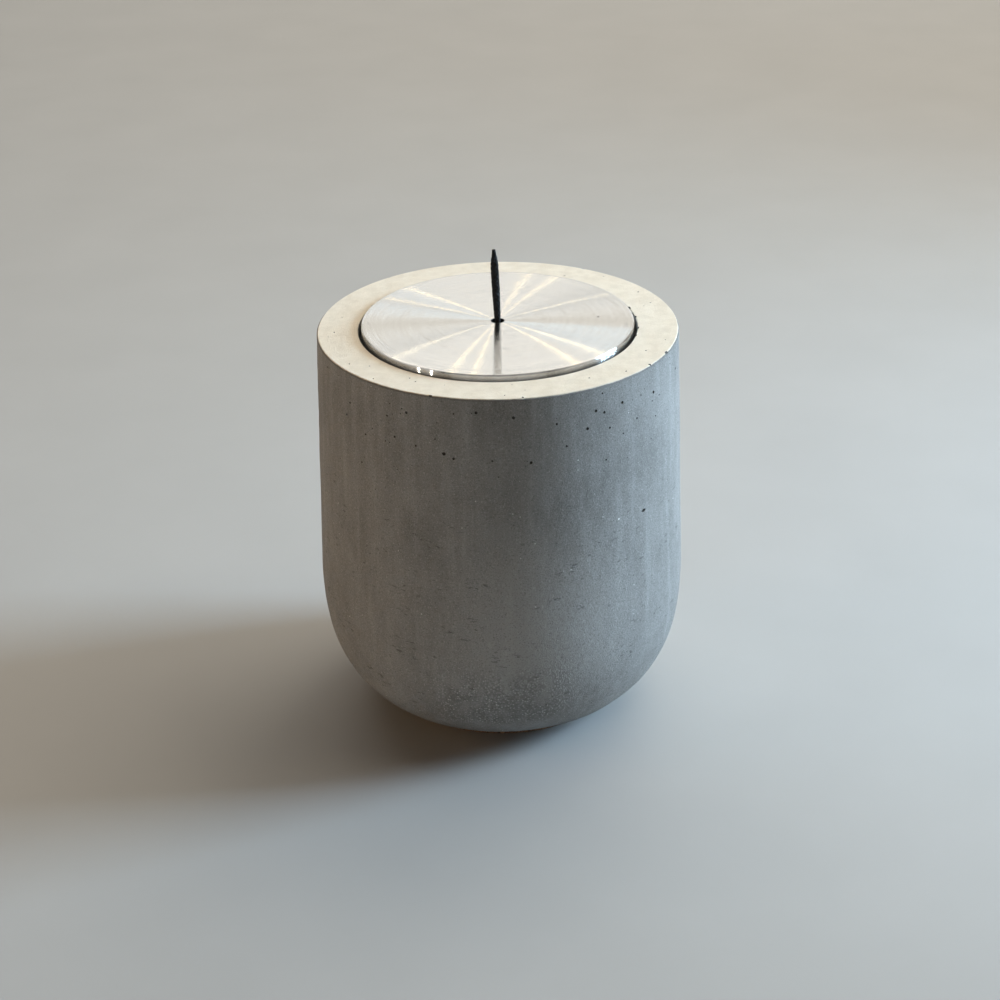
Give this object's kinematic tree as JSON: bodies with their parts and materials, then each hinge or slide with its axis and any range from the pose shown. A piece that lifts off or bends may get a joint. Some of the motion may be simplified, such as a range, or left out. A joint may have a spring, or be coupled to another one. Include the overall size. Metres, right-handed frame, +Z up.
{
  "type": "oil lantern",
  "caption": "Round-bottomed cast-concrete oil lantern with a lift-out fuel cup, a turned aluminium cover disc and an upright wick.",
  "frame": {"origin": "centre of the underside of the cork pad, on the surface that the lantern stands on", "axes": "+Z up along the lantern's axis, -Y towards the viewer, +X to the viewer's right"},
  "size_m": [0.1404, 0.1404, 0.1825],
  "materials": {
    "concrete": "matte",
    "cork": "matte",
    "reservoir_steel": "satin",
    "silicone": "matte",
    "turned_aluminium": "satin",
    "brass": "satin",
    "zinc_steel": "satin",
    "charred_wick": "matte",
    "core_wire": "satin"
  },
  "bodies": {
    "body": {"vessel": "concrete", "base_pad": "cork"},
    "cup": {"reservoir": "reservoir_steel", "seal_ring": "silicone"},
    "cover": {"cover_disc": "turned_aluminium", "wick_tube": "brass", "wick_sleeve": "brass", "tube_washer": "zinc_steel", "tube_nut": "brass"},
    "wick": {"wick_braid": "charred_wick", "wick_core": "core_wire"}
  },
  "joints": [
    {"name": "reservoir_lift", "type": "slide", "parent": "body", "child": "cup", "axis": [0, 0, 1], "range_m": [0, 0.125]},
    {"name": "cover_lift", "type": "slide", "parent": "cup", "child": "cover", "axis": [0, 0, 1], "range_m": [0, 0.12]},
    {"name": "wick_feed", "type": "slide", "parent": "cover", "child": "wick", "axis": [-0.0349, 0, 0.9994], "range_m": [-0.006, 0.01]}
  ]
}
